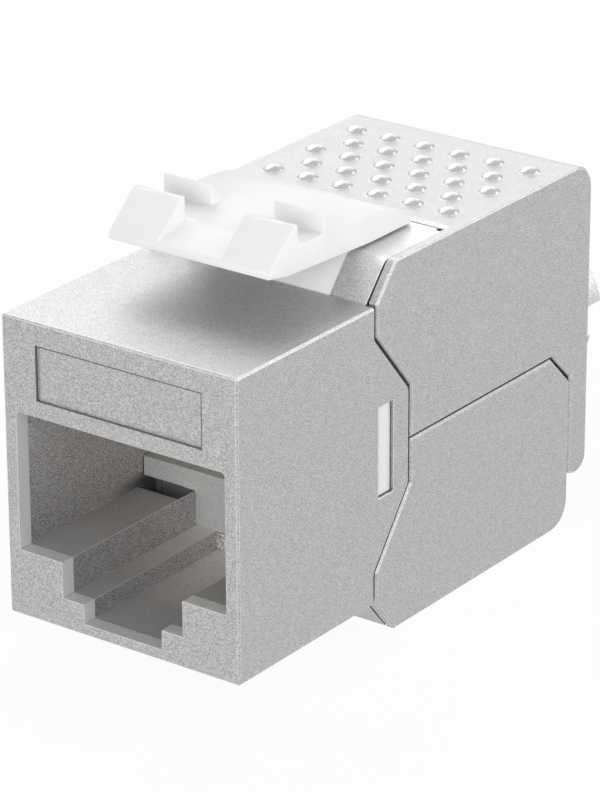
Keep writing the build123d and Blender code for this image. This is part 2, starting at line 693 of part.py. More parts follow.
def contact(x):
    """One spring contact: run along the ceiling, bend at the front and sloping arm."""
    path = FilletPolyline(
        (BOARD_REAR, CONTACT_RUN_HEIGHT),
        (CONTACT_FRONT, CONTACT_RUN_HEIGHT),
        (CONTACT_FRONT, CONTACT_RUN_HEIGHT - CONTACT_TURN),
        (CONTACT_TIP_DEPTH - CONTACT_TIP_LENGTH, CONTACT_TIP_HEIGHT),
        (CONTACT_TIP_DEPTH, CONTACT_TIP_HEIGHT + CONTACT_TIP_RISE),
        radius=[CONTACT_TOP_RADIUS, CONTACT_NOSE_RADIUS, CONTACT_TIP_RADIUS],
    )
    strip = trace(path, CONTACT_THICKNESS)
    return Pos(x, 0, 0) * extrude(Plane.YZ * strip, amount=CONTACT_WIDTH / 2, both=True)


def circuit_board():
    """Board that joins the contacts to the terminal blades."""
    heights = (BAY_FLOOR + BOARD_MARGIN, BAY_TOP - BOARD_MARGIN)
    board = bar_across(BAY_SIDE - BOARD_MARGIN, (INSERT_REAR, BOARD_REAR), heights)
    through = (INSERT_REAR - OVERRUN, BOARD_REAR + OVERRUN)
    half_hole = CONTACT_WIDTH / 2 + BOARD_HOLE_CLEARANCE
    run_heights = around(CONTACT_RUN_HEIGHT, CONTACT_THICKNESS / 2)
    for x in contact_positions():
        board -= block(around(x, half_hole), through, run_heights)
    half_pin = TERMINAL_PIN_WIDTH / 2 + BOARD_HOLE_CLEARANCE
    half_blade = TERMINAL_THICKNESS / 2 + BOARD_HOLE_CLEARANCE
    for x, height in terminal_positions():
        board -= block(around(x, half_pin), through, around(height, half_blade))
    return board


def terminal_block():
    """Plastic block that holds the terminal blades, with a flange behind the neck."""
    body = bar_across(INSERT_SIDE, (BOARD_REAR, NECK_REAR), (INSERT_FLOOR, INSERT_TOP))
    flange_side = DOOR_INSIDE - FLANGE_MARGIN
    flange_heights = (INSERT_FLOOR - FLANGE_RISE, INSERT_TOP + FLANGE_RISE)
    body += bar_across(flange_side, (NECK_REAR, FLANGE_REAR), flange_heights)
    through = (BOARD_REAR - OVERRUN, FLANGE_REAR + OVERRUN)
    half_width = TERMINAL_WIDTH / 2 + TERMINAL_CLEARANCE
    half_height = TERMINAL_THICKNESS / 2 + TERMINAL_CLEARANCE
    for x, height in terminal_positions():
        body -= block(around(x, half_width), through, around(height, half_height))
    return body


def terminal(x, height):
    """One forked terminal blade that cuts into a wire."""
    half = TERMINAL_WIDTH / 2
    pin = TERMINAL_PIN_WIDTH / 2
    slot = TERMINAL_SLOT_WIDTH / 2
    tip = FLANGE_REAR + TERMINAL_REACH
    right_corners = [
        (pin, INSERT_REAR + TERMINAL_PIN_SETBACK),
        (pin, BOARD_REAR),
        (half, BOARD_REAR),
        (half, tip - TERMINAL_CORNER_LENGTH),
        (half - TERMINAL_CORNER_WIDTH, tip),
        (slot + TERMINAL_MOUTH_WIDTH, tip),
        (slot, tip - TERMINAL_MOUTH_LENGTH),
        (slot, tip - TERMINAL_SLOT_LENGTH),
    ]
    face = outline(*with_left_half(right_corners))
    return Pos(x, 0, height) * extrude(face, amount=TERMINAL_THICKNESS / 2, both=True)


def wire_cap():
    """Cap that holds the wires and presses them on to the blades."""
    side = DOOR_INSIDE - CAP_MARGIN
    right_corners = [(side, CAP_BOTTOM, CAP_CORNER), (side, CAP_TOP, CAP_CORNER)]
    face = outline(*with_left_half(right_corners))
    body = extrude(Plane.XZ.offset(-FLANGE_REAR) * face, amount=FLANGE_REAR - CAP_REAR)
    tunnel = (FLANGE_REAR + CAP_FLOOR, CAP_REAR + OVERRUN)
    body -= rod_along_y(CABLE_RADIUS - CAP_TUNNEL_STEP, tunnel, CABLE_HEIGHT)
    half_slot = WIRE_SLOT_WIDTH / 2
    wire_depth = (FLANGE_REAR - OVERRUN, FLANGE_REAR + WIRE_SLOT_DEPTH)
    pocket_depth = (FLANGE_REAR - OVERRUN, FLANGE_REAR + TERMINAL_REACH + POCKET_CLEARANCE)
    outermost = max(x for x, height in terminal_positions())
    body -= bar_across(outermost + half_slot, wire_depth, around(CABLE_HEIGHT, half_slot))
    half_pocket = TERMINAL_WIDTH / 2 + POCKET_CLEARANCE
    half_height = TERMINAL_THICKNESS / 2 + POCKET_CLEARANCE
    for x, height in terminal_positions():
        if height > CABLE_HEIGHT:
            run = (CABLE_HEIGHT, CAP_TOP + OVERRUN)
        else:
            run = (CAP_BOTTOM - OVERRUN, CABLE_HEIGHT)
        body -= block(around(x, half_slot), wire_depth, run)
        body -= block(around(x, half_pocket), pocket_depth, around(height, half_height))
    return body


def pieces():
    """Every piece of the jack by name."""
    found = {
        "front_housing": front_housing(),
        "keystone_latch": keystone_latch(),
        "upper_door": upper_door(),
        "lower_door": lower_door(),
        "contact_carrier": contact_carrier(),
        "circuit_board": circuit_board(),
        "terminal_block": terminal_block(),
        "wire_cap": wire_cap(),
    }
    for index, x in enumerate(contact_positions(), start=1):
        found[f"contact_{index}"] = contact(x)
    for index, (x, height) in enumerate(terminal_positions(), start=1):
        found[f"terminal_{index}"] = terminal(x, height)
    return found


def main():
    os.makedirs("parts", exist_ok=True)
    to_base = Pos(0, -LENGTH / 2, LOWER_DROP)
    for name, shape in pieces().items():
        export_step(to_base * shape, f"parts/{name}.step")


main()
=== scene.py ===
import json
import math

import bpy
from bpy.props import FloatProperty, FloatVectorProperty, PointerProperty
from mathutils import Matrix, Vector

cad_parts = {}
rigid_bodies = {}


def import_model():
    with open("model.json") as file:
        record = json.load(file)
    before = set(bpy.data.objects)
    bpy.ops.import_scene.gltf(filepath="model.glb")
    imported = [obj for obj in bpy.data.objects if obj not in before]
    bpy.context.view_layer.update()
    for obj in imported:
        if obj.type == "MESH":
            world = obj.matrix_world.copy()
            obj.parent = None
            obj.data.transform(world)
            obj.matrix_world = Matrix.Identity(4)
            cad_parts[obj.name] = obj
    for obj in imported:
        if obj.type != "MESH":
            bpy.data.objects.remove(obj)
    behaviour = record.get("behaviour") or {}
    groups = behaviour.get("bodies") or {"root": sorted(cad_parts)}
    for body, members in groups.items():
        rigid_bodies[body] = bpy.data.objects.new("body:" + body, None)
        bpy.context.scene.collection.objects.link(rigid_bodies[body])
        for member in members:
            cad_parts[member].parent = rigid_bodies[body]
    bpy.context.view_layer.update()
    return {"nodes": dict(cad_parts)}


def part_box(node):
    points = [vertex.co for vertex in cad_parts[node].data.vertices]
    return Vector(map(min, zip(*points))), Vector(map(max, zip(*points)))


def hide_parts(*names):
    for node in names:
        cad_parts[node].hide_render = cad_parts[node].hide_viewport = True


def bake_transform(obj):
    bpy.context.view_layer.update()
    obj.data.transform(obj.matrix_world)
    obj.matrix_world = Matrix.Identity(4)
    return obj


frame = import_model()

bl_info = {
    "name": "Keystone Jack Looks",
    "version": (1, 0, 0),
    "blender": (4, 5, 0),
    "location": "View3D > Sidebar > Keystone Jack",
    "description": "Dresses the packed keystone jack in its finishes, and adds the latch and the stage",
    "category": "Object",
}

MM = 0.001
DOORS = ("upper_door", "lower_door")
CONTACT_COUNT = 8

# Latch: angle from which an edge is rounded or stays sharp, angle under which faces count as flat,
# how near two places must be to merge or to be the same, in metres, and an upright edge's least rise
SMOOTH_ANGLE = math.radians(32)
FLAT_ANGLE = math.radians(0.5)
MERGE_REACH = 0.001 * MM
NEAR_REACH = 0.02 * MM
UPRIGHT = 0.9

# Latch: number of steps in its tail, its plan's corners, its edges and its length, and of its pins' sides
TAIL_STEPS = 10
CORNER_STEPS = 4
EDGE_STEPS = 2
FLEX_STEPS = 40
PIN_SIDES = 32

BLACK = (0.0, 0.0, 0.0)
WHITE = (1.0, 1.0, 1.0)

# Lowest and highest corners of the CAD nodes that other sizes are measured from
HOUSING_LOW, HOUSING_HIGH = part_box("front_housing")
LATCH_LOW, LATCH_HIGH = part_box("keystone_latch")


def mm_size(label, words, value):
    """A length that a user may change, in millimetres."""
    return FloatProperty(name=label, description=words, default=value, min=0.0, precision=3)


def colour(label, words, value):
    """A colour that a user may change."""
    return FloatVectorProperty(
        name=label, description=words, default=value, size=3, subtype="COLOR", min=0.0, max=1.0
    )


def share(label, words, value):
    """A part of the whole that a user may change, from 0 to 1."""
    return FloatProperty(name=label, description=words, default=value, min=0.0, max=1.0, subtype="FACTOR")


class LatchSizes(bpy.types.PropertyGroup):
    """Sizes of the latch, in millimetres, measured from its box in the frame."""

    plate_width: mm_size("Plate width", "Width of the latch's plate", 9.9)
    plate_drop: mm_size("Plate drop", "From the top of the stops down to the plate", 1.12)
    plate_fall: mm_size("Plate fall", "How much lower the plate is at its tail", 0.17)
    lip_drop: mm_size("Lip drop", "From the plate's top down to the top of the front lip", 0.69)
    lip_height: mm_size("Lip height", "Height of the front lip", 0.38)
    belly_run: mm_size("Belly run", "From the lip back to where the underside levels out", 1.68)
    belly_drop: mm_size("Belly drop", "From the plate's top down to the underside at that place", 1.35)
    under_drop: mm_size("Underside drop", "From the plate's top down to its underside over the neck", 1.71)
    ramp_width: mm_size("Ramp width", "Width of each ramp and stop", 3.0)
    ramp_length: mm_size("Ramp length", "Length of each ramp", 2.39)
    ramp_height: mm_size("Ramp height", "Height of each ramp over the plate", 1.1)
    ramp_land: mm_size("Ramp land", "Length of the flat top of each ramp", 0.35)
    catch_gap: mm_size("Catch gap", "Gap between ramp and stop, where the panel goes", 2.07)
    stop_length: mm_size("Stop length", "Length of each stop", 1.15)
    stop_land: mm_size("Stop land", "Length of the flat top of each stop", 0.1)
    tail_radius: mm_size("Tail radius", "Radius of the rounded tail seen from the side", 5.0)
    tail_nose: mm_size("Tail nose", "Height of the tail's blunt rear end", 0.1)
    tail_corner: mm_size("Tail corner", "Radius of the tail's corners seen from above", 0.3)
    leg_width: mm_size("Leg width", "Width of the leg in the neck's slot", 8.82)
    leg_front: mm_size("Leg front", "From the lip back to the front of the leg", 5.74)
    leg_depth: mm_size("Leg depth", "Depth of the leg from front to back", 2.7)
    leg_lean_start: mm_size("Leg lean start", "From the leg's bottom up to where its front leans", 0.3)
    leg_lean: mm_size("Leg lean", "How far the front of the leg leans back at its top", 2.03)
    pin_radius: mm_size("Pin radius", "Radius of the two pins", 0.5)
    pin_back: mm_size("Pin place", "From the lip back to the pins", 7.64)
    pin_rise: mm_size("Pin rise", "From the leg's bottom up to the pins", 1.45)
    edge_round: mm_size("Edge rounding", "Rounding of the moulded edges", 0.07)


class FinishColours(bpy.types.PropertyGroup):
    """Colours of the finishes, as linear values."""

    zinc: colour("Zinc", "Sand-blasted die-cast zinc", (0.45, 0.45, 0.453))
    # Painted shade laid in narrow slits between parts, where the Ambient Occlusion node finds little open
    # space
    slit: colour("Slit", "Dark skin of the zinc inside narrow slits", (0.02, 0.02, 0.02))
    latch: colour("Latch", "White latch moulding", (0.9, 0.9, 0.9))
    insert: colour("Insert", "White insert that holds the contacts", (0.82, 0.82, 0.81))
    block: colour("Terminal block", "Off-white terminal block", (0.78, 0.78, 0.76))
    cap: colour("Wire cap", "White wire cap", (0.84, 0.84, 0.84))
    board: colour("Circuit board", "Green solder mask", (0.03, 0.2, 0.09))
    gold: colour("Contact gold", "Gold plating of the spring contacts", (0.85, 0.6, 0.24))
    tin: colour("Tinned bronze", "Tin plating of the terminal blades", (0.7, 0.69, 0.66))


class GrainSizes(bpy.types.PropertyGroup):
    """Sizes of the zinc's grain, in millimetres."""

    fine: mm_size("Fine grain", "Size of the fine sand grain", 0.06)
    coarse: mm_size("Coarse grain", "Size of the coarser mottling", 0.4)
    contrast: share("Contrast", "How much the grain's tone differs from the zinc's", 0.42)
    relief: mm_size("Relief", "Height of the grain", 0.003)
    # The edges are painted brighter, partly as wear and partly as painted highlight
    worn_and_highlit_edge: mm_size("Worn edge", "Width of the brighter edges", 0.065)
    # Reach of the painted shade in narrow slits
    slit_reach: mm_size("Slit reach", "How near a wall must be for a narrow slit to look dark", 0.16)


class CastingPlaces(bpy.types.PropertyGroup):
    """Places on the castings that differ in colour, painted light and shade, or gloss, in millimetres, and
    how they look.
    """

    neck_drop: mm_size("Neck drop", "From the housing's lowest place up to the front face's bottom", 2.0)
    port_width: mm_size("Lining width", "Width of the plug opening's lining", 13.0)
    port_bottom: mm_size("Lining bottom", "From the face's bottom up to the lining", 0.55)
    port_top: mm_size("Lining top", "From the face's bottom up to the lining's top", 11.2)
    port_depth: mm_size("Lining end", "From the front face back to the end of the lining", 10.9)
    rim_depth: mm_size("Rim depth", "Depth of the light rim of the plug opening", 0.86)
    # Painted light: the rim is painted as light as the lit front face, its ledges a little darker, and the
    # lining's level is painted too
    rim_light_colour: colour("Rim colour", "Upright faces of the plug opening's light rim", (0.92, 0.92, 0.92))
    ledge_light_colour: colour("Ledge colour", "Ledges of the plug opening's light rim", (0.74, 0.73, 0.725))
    lining_tint: colour("Lining tint", "Tint of the plug opening's lining", (1.0, 0.982, 0.976))
    lining_light: share("Lining level", "How light the plug opening's lining is", 0.42)
    # Painted shade: colour of the shadowed insert behind the shelves and of the slots near it
    gap_shade_colour: colour("Gap colour", "Insert behind the shelves, under its bar", (0.17, 0.17, 0.17))
    dot_colour: colour("Dot colour", "Raised dots on the upper door", (0.5, 0.5, 0.5))
    slot_start: mm_size("Slot start", "From the front face back to the slots in the shelves", 9.4)
    slot_shade: mm_size("Slot shade", "How far the slots' shade reaches forwards on the walls", 2.2)
    block_top: mm_size("Block top", "From the face's bottom up to the top of the front block", 16.25)
    # Painted light: the neck above the block is painted brighter
    neck_light: share("Neck shine", "How much brighter the polished neck is than the rest", 0.45)
    # Painted sheen: the step is painted lighter towards the back
    sheen_start: mm_size("Sheen start", "From the front face back to where the step gets lighter", 4.0)
    step_width: mm_size("Step width", "Width of the opening's step between the shelves", 7.6)
    bar_bottom: mm_size("Bar bottom", "From the face's bottom up to the insert's bar", 4.2)
    # Painted shade: the insert's panel in the plug opening is painted greyer
    panel_shade: share("Panel shade", "How much greyer the insert is in the plug opening", 0.8)
    label_width: mm_size("Label width", "Width of the sunk label plate", 10.16)
    label_height: mm_size("Label height", "Height of the sunk label plate", 2.86)
    label_top: mm_size("Label top", "From the face's bottom up to the label's top", 14.93)
    label_line: mm_size("Label line", "Half the width of the dark line round the label", 0.06)
    door_split: mm_size("Door split", "From the face's bottom up to the split between the doors", 8.1)
    split_reach: mm_size("Split reach", "How far the doors' edges reach above and below the split", 0.16)
    side_start: mm_size("Side start", "From the middle out to the doors' outer walls", 6.0)
    door_step: mm_size("Door step", "From the neck's top up to the upper door's top", 0.07)


class Wire:
    """A shader value that Python's operators work on by adding Math nodes."""

    def __init__(self, finish, socket):
        self.finish = finish
        self.socket = socket

    def maths(self, operation, *others):
        """Adds a Math node that works on this value and any others."""
        inputs = dict(enumerate((self, *others)))
        return self.finish.node("ShaderNodeMath", {"operation": operation}, inputs)

    def __add__(self, other):
        return self.maths("ADD", other)

    def __sub__(self, other):
        return self.maths("SUBTRACT", other)

    def __rsub__(self, other):
        return self.finish.node("ShaderNodeMath", {"operation": "SUBTRACT"}, {0: other, 1: self})

    def __mul__(self, other):
        return self.maths("MULTIPLY", other)

    def __gt__(self, other):
        return self.maths("GREATER_THAN", other)

    def __lt__(self, other):
        return self.maths("LESS_THAN", other)

    def __abs__(self):
        return self.maths("ABSOLUTE")

    __radd__ = __add__
    __rmul__ = __mul__


# Part of a noise texture's range that is stretched to run from 0 to 1
NOISE_LOW, NOISE_HIGH = 0.3, 0.7


class Finish:
    """A material whose nodes come from one method."""

    def __init__(self, name):
        self.material = bpy.data.materials.new(name)
        self.material.use_nodes = True
        self.tree = self.material.node_tree
        self.tree.nodes.clear()

    def node(self, kind, settings=None, inputs=None, output=0):
        """Adds a node: its settings first, then the values or links of its sockets."""
        node = self.tree.nodes.new(kind)
        for name, value in (settings or {}).items():
            setattr(node, name, value)
        for key, value in (inputs or {}).items():
            self.feed(node.inputs[key], value)
        return Wire(self, node.outputs[output])

    def feed(self, socket, value):
        """Links a wire to a socket, or sets the socket's own value."""
        if isinstance(value, Wire):
            self.tree.links.new(value.socket, socket)
        elif socket.type == "RGBA":
            socket.default_value = (*value, 1)
        else:
            socket.default_value = value

    def places(self):
        """The object's own coordinates in millimetres, as three values."""
        here = self.node("ShaderNodeTexCoord", output="Object")
        parts = self.node("ShaderNodeSeparateXYZ", None, {0: here})
        outputs = parts.socket.node.outputs
        return [Wire(self, outputs[axis]) * (1 / MM) for axis in range(3)]

    def noise(self, size_mm, detail=2.0):
        """Noise with grains of the given size, stretched to run from 0 to 1."""
        here = self.node("ShaderNodeTexCoord", output="Object")
        inputs = {"Vector": here, "Scale": 1 / (size_mm * MM), "Detail": detail}
        return self.spread(self.node("ShaderNodeTexNoise", None, inputs, "Fac"), NOISE_LOW, NOISE_HIGH)

    def spread(self, value, low, high):
        """Stretches a value so that low becomes 0 and high becomes 1."""
        inputs = {"Value": value, "From Min": low, "From Max": high}
        return self.node("ShaderNodeMapRange", {"clamp": True}, inputs)

    def blend_colours(self, factor, first, second):
        """The first colour where the factor is 0, and the second where it is 1."""
        inputs = {0: factor, 6: first, 7: second}
        return self.node("ShaderNodeMix", {"data_type": "RGBA"}, inputs, 2)

    def bump(self, height, relief_mm, strength, normal=None):
        """Relief of the given height, on top of a normal if there is one."""
        inputs = {"Height": height, "Distance": relief_mm * MM, "Strength": strength}
        if normal is not None:
            inputs["Normal"] = normal
        return self.node("ShaderNodeBump", None, inputs, "Normal")

    def principled(self, **inputs):
        """Ends the material with a Principled shader."""
        sockets = {name.replace("_", " "): value for name, value in inputs.items()}
        shader = self.node("ShaderNodeBsdfPrincipled", None, sockets)
        self.node_to_output(shader)
        return self.material

    def node_to_output(self, shader):
        """Links a shader to the material's output."""
        output = self.tree.nodes.new("ShaderNodeOutputMaterial")
        self.tree.links.new(shader.socket, output.inputs["Surface"])


def shade(rgb, factor):
    """A colour made lighter or darker, still within range."""
    return tuple(min(1.0, part * factor) for part in rgb)


# Sand-blasted zinc: share of metal, gloss, and how much of its tone is fine grain
ZINC_METAL = 0.9
ZINC_ROUGHNESS = 0.38
ZINC_ROUGHNESS_GAIN = 0.12
FINE_SHARE = 0.9
GRAIN_STRENGTH = 0.8

# How far the normal turns where an edge starts to be painted brighter, as wear and as painted highlight, and
# where it is fully so, and its brightness
WORN_TURN = (0.01, 0.15)
WORN_AND_HIGHLIGHT_GAIN = 2.1

# Painted shade in narrow slits: open share of the space near a surface where it starts and where it is full,
# and its strength
SLIT_ROOM = (0.5, 0.22)
SLIT_SHADE_DARKNESS = 0.95

# Samples of the Bevel and Ambient Occlusion nodes
RAY_SAMPLES = 4


def zinc_finish(name, colours, grain, places, marks):
    """Satin zinc with a sand grain, edges painted brighter as wear and as painted highlight, and painted
    shade in narrow slits; marks changes it from place to place.
    """
    finish = Finish(name)
    samples = {"samples": RAY_SAMPLES}
    fine = finish.noise(grain.fine, 1.0)
    tone = fine * FINE_SHARE + finish.noise(grain.coarse) * (1 - FINE_SHARE)
    dark, light = shade(colours.zinc, 1 - grain.contrast), shade(colours.zinc, 1 + grain.contrast)
    rounded = finish.node("ShaderNodeBevel", samples, {"Radius": grain.worn_and_highlit_edge * MM})
    straight = finish.node("ShaderNodeNewGeometry", output="Normal")
    dot_product = {"operation": "DOT_PRODUCT"}
    turned = finish.node("ShaderNodeVectorMath", dot_product, {0: rounded, 1: straight}, "Value")
    skin = {
        "colour": finish.blend_colours(tone, dark, light),
        "metal": ZINC_METAL,
        "roughness": fine * ZINC_ROUGHNESS_GAIN + ZINC_ROUGHNESS,
        "tone": tone,
        "upwards": finish.node("ShaderNodeSeparateXYZ", None, {0: straight}, "Z"),
        "edge": finish.spread(1 - turned, *WORN_TURN),
        "slits": 1.0,
    }
    marks(finish, places, skin)
    # Painted highlight with wear: edges brightened in colour
    worn_and_highlit = finish.blend_colours(skin["edge"], skin["colour"], shade(colours.zinc, WORN_AND_HIGHLIGHT_GAIN))
    reach = {"Distance": grain.slit_reach * MM}
    # Painted shade: slits darken where little open space is found round a surface
    room = finish.node("ShaderNodeAmbientOcclusion", samples, reach, "AO")
    slit = finish.spread(room, *SLIT_ROOM) * skin["slits"]
    return finish.principled(
        Base_Color=finish.blend_colours(slit * SLIT_SHADE_DARKNESS, worn_and_highlit, colours.slit),
        Metallic=skin["metal"],
        Roughness=skin["roughness"],
        Normal=finish.bump(tone, grain.relief, GRAIN_STRENGTH, rounded),
    )


# The front face's place along Y, in millimetres
FRONT = HOUSING_LOW.y / MM


def face_bottom(places):
    """Height of the front face's bottom, in millimetres."""
    return HOUSING_LOW.z / MM + places.neck_drop


# Plug opening: where it starts behind the face, in millimetres, and how much less metallic and glossy it is
MOUTH = 0.03
PORT_METAL_LOSS = 0.7
PORT_ROUGHNESS_GAIN = 0.15

# The least upward part of the normal of a face that counts as a ledge
LEDGE_RISE = 0.5

# Dark grit on light faces, also laid as painted shade at the doors' split, and how much grit the rim has
GRIT_AND_SHADE = (0.15, 0.15, 0.15)
RIM_GRIT = 0.3

# Lining: strength of its grain, how much calmer that is on ledges, and its painted light: how its level rises
# with depth and height, and a painted sheen on the ledges
LINING_GRAIN = 1.7
LEDGE_CALM = 0.75
WALL_LEVEL = 0.78
WALL_DEPTH_GAIN = 0.7
WALL_HEIGHT_GAIN = 0.45
LEDGE_LEVEL = 0.9
LEDGE_DEPTH_GAIN = 0.1
LEDGE_SHEEN = 0.9

# Painted shade in the slots behind the shelves: millimetres over which it fades in, backwards and downwards
SLOT_FADE = 0.1
BAR_FADE = 0.3

# Painted light on the neck, and painted shade along the line round the label plate's sunk border
NECK_DARK = (0.6, 0.6, 0.6)
LABEL_LINE_SHADE = (0.05, 0.05, 0.05)
LABEL_LINE_SHADE_SHARE = 0.75


def port_colour(finish, places, tone, ledge, here):
    """Colour of the plug opening, with painted light: a rim painted as light as the lit front face, and a
    lining whose painted light changes with depth and height.
    """
    x, y, z = here
    floor = face_bottom(places)
    rim = finish.blend_colours(ledge, places.rim_light_colour, places.ledge_light_colour)
    sanded_rim = finish.blend_colours(tone * RIM_GRIT, rim, GRIT_AND_SHADE)
    grain = (tone - 0.5) * (1 - ledge * LEDGE_CALM) * LINING_GRAIN + 1
    # Painted light: the lining's level rises with depth and height, with a painted sheen on the step's ledges
    depth = finish.spread(y, FRONT + places.rim_depth, FRONT + places.slot_start)
    height = finish.spread(z, floor + places.bar_bottom, floor + places.port_top)
    wall_painted_light = (depth * WALL_DEPTH_GAIN + 1) * (height * WALL_HEIGHT_GAIN + WALL_LEVEL)
    in_channel = abs(x) < places.step_width / 2
    painted_sheen = finish.spread(y, FRONT + places.sheen_start, FRONT + places.port_depth) * in_channel
    ledge_painted_light = painted_sheen * LEDGE_SHEEN + depth * LEDGE_DEPTH_GAIN + LEDGE_LEVEL
    level = (wall_painted_light * (1 - ledge) + ledge_painted_light * ledge) * grain * places.lining_light
    lining = finish.blend_colours(level, BLACK, places.lining_tint)
    return finish.blend_colours(y > FRONT + places.rim_depth, sanded_rim, lining)


def slot_shade_mask(finish, places, ledge, here):
    """1 where shade is painted: in the slots behind the shelves, and reaching forwards on the walls."""
    x, y, z = here
    slot, bar = FRONT + places.slot_start, face_bottom(places) + places.bar_bottom
    behind = finish.spread(y, slot - (1 - ledge) * places.slot_shade, slot + SLOT_FADE)
    under_bar = finish.spread(z, bar + BAR_FADE, bar - BAR_FADE)
    beside_channel = 1 - (abs(x) < places.step_width / 2)
    return behind * under_bar * beside_channel


def label_outline(places, here):
    """1 on the fine line round the sunk label plate."""
    x, y, z = here
    middle = places.label_top - places.label_height / 2 + face_bottom(places)
    beside = abs(x) - places.label_width / 2
    above = abs(z - middle) - places.label_height / 2
    outline = abs(beside.maths("MAXIMUM", above)) < places.label_line
    return outline * (y < FRONT + 2 * places.label_line)


def port_mask(places, here):
    """1 inside the plug opening."""
    x, y, z = here
    middle = (places.port_bottom + places.port_top) / 2 + face_bottom(places)
    across = abs(x) < places.port_width / 2
    upright = abs(z - middle) < (places.port_top - places.port_bottom) / 2
    return across * upright * (y > FRONT + MOUTH) * (y < FRONT + places.port_depth)


def housing_marks(finish, places, skin):
    """Plug opening with painted light on its rim and lining and painted shade in its slots, painted light on
    the neck, and painted shade along the label plate's outline.
    """
    here = finish.places()
    ledge = skin["upwards"] > LEDGE_RISE
    opening = port_mask(places, here)
    slots = slot_shade_mask(finish, places, ledge, here)
    port = port_colour(finish, places, skin["tone"], ledge, here)
    # Painted shade in the slots
    slot_shaded = finish.blend_colours(slots, port, places.gap_shade_colour)
    # Painted light on the neck above the block
    neck = (here[2] > face_bottom(places) + places.block_top) * places.neck_light
    bright = finish.blend_colours(skin["tone"], NECK_DARK, WHITE)
    neck_painted_light = finish.blend_colours(neck, skin["colour"], bright)
    lined = finish.blend_colours(opening, neck_painted_light, slot_shaded)
    outline = label_outline(places, here)
    # Painted shade along the label plate's sunk border
    skin["colour"] = finish.blend_colours(outline * LABEL_LINE_SHADE_SHARE, lined, LABEL_LINE_SHADE)
    skin["edge"] = skin["edge"] * (1 - outline) * (1 - slots * opening)
    skin["metal"] = skin["metal"] - opening * PORT_METAL_LOSS
    skin["roughness"] = skin["roughness"] + opening * PORT_ROUGHNESS_GAIN


# Dots: heights over the door's top where their smooth skin starts and is full, in millimetres
DOT_RISE = (0.02, 0.08)
DOT_GLOSS = 0.22

# Split between the doors: least rise of its upper faces, the painted shade on them, and how much less its
# edges are painted brighter
SPLIT_RISE = 0.3
SPLIT_SHADE = 0.35
SPLIT_CALM = 0.85


def door_marks(finish, places, skin):
    """Smooth raised dots on the upper door, and painted shade on the upward faces at the fine split between
    the doors' outer walls.
    """
    x, _, z = finish.places()
    top = HOUSING_HIGH.z / MM + places.door_step
    raised = finish.spread(z, top + DOT_RISE[0], top + DOT_RISE[1])
    dotted = finish.blend_colours(raised, skin["colour"], places.dot_colour)
    split = face_bottom(places) + places.door_split
    at_split = (abs(z - split) < places.split_reach) * (abs(x) > places.side_start)
    facing_up = at_split * (skin["upwards"] > SPLIT_RISE)
    # Painted shade on the upward faces at the split
    skin["colour"] = finish.blend_colours(facing_up * SPLIT_SHADE, dotted, GRIT_AND_SHADE)
    skin["roughness"] = skin["roughness"] - raised * DOT_GLOSS
    skin["edge"] = skin["edge"] * (1 - at_split * SPLIT_CALM)
    skin["slits"] = 1 - at_split


# Moulded plastic: sizes of its flow marks and of its skin's grain in millimetres, and how they show
FLOW_SIZE = 1.6
SKIN_SIZE = 0.12
FLOW_SHARE = 0.6
FLOW_SHADES = (0.985, 1.01)
SKIN_ROUGHNESS = 0.08
SKIN_RELIEF = 0.004

# Strength of the plain finishes' relief
RELIEF_STRENGTH = 0.5


def moulding_finish(name, rgb, roughness):
    """Smooth moulded plastic with a faint flow in its tone and gloss."""
    finish = Finish(name)
    skin = finish.noise(SKIN_SIZE)
    tone = finish.noise(FLOW_SIZE) * FLOW_SHARE + skin * (1 - FLOW_SHARE)
    return finish.principled(
        Base_Color=finish.blend_colours(tone, shade(rgb, FLOW_SHADES[0]), shade(rgb, FLOW_SHADES[1])),
        Roughness=skin * SKIN_ROUGHNESS + roughness,
        Normal=finish.bump(skin, SKIN_RELIEF, RELIEF_STRENGTH),
    )


# Insert's panel in the plug opening: its grain and its margin beside the lining, in millimetres, its painted
# shade, and its gloss and relief
PANEL_GRAIN = 0.07
PANEL_MARGIN = 0.05
PANEL_SHADES = (0.4, 0.62)
PANEL_ROUGHNESS = 0.4
PANEL_ROUGHNESS_GAIN = 0.1
PANEL_RELIEF = 0.006
PANEL_STRENGTH = 0.6


def insert_finish(rgb, places):
    """White moulding painted a grainy grey as shade on its panel in the plug opening, and painted dark as
    shadow behind the shelves under its bar.
    """
    finish = Finish("insert_plastic")
    x, y, z = finish.places()
    grain = finish.noise(PANEL_GRAIN, 1.0)
    # Painted shade: the panel is painted a grainy grey
    shaded_grey = finish.blend_colours(grain, shade(rgb, PANEL_SHADES[0]), shade(rgb, PANEL_SHADES[1]))
    panel = (abs(x) < places.port_width / 2 - PANEL_MARGIN) * places.panel_shade
    base = finish.blend_colours(panel, rgb, shaded_grey)
    under_bar = z < face_bottom(places) + places.bar_bottom
    # Painted shadow on the insert behind the shelves, under its bar
    shade_behind_shelf = (abs(x) > places.step_width / 2) * under_bar * (y < FRONT + places.port_depth)
    return finish.principled(
        Base_Color=finish.blend_colours(shade_behind_shelf, base, places.gap_shade_colour),
        Roughness=grain * PANEL_ROUGHNESS_GAIN + PANEL_ROUGHNESS,
        Normal=finish.bump(grain, PANEL_RELIEF, PANEL_STRENGTH),
    )


# Circuit board: how fast its cloth's weave waves, per millimetre, and how it shows
WEAVE_RATE = 9.0
WEAVE_SHADES = (0.9, 1.25)
WEAVE_RELIEF = 0.006
BOARD_ROUGHNESS = 0.32


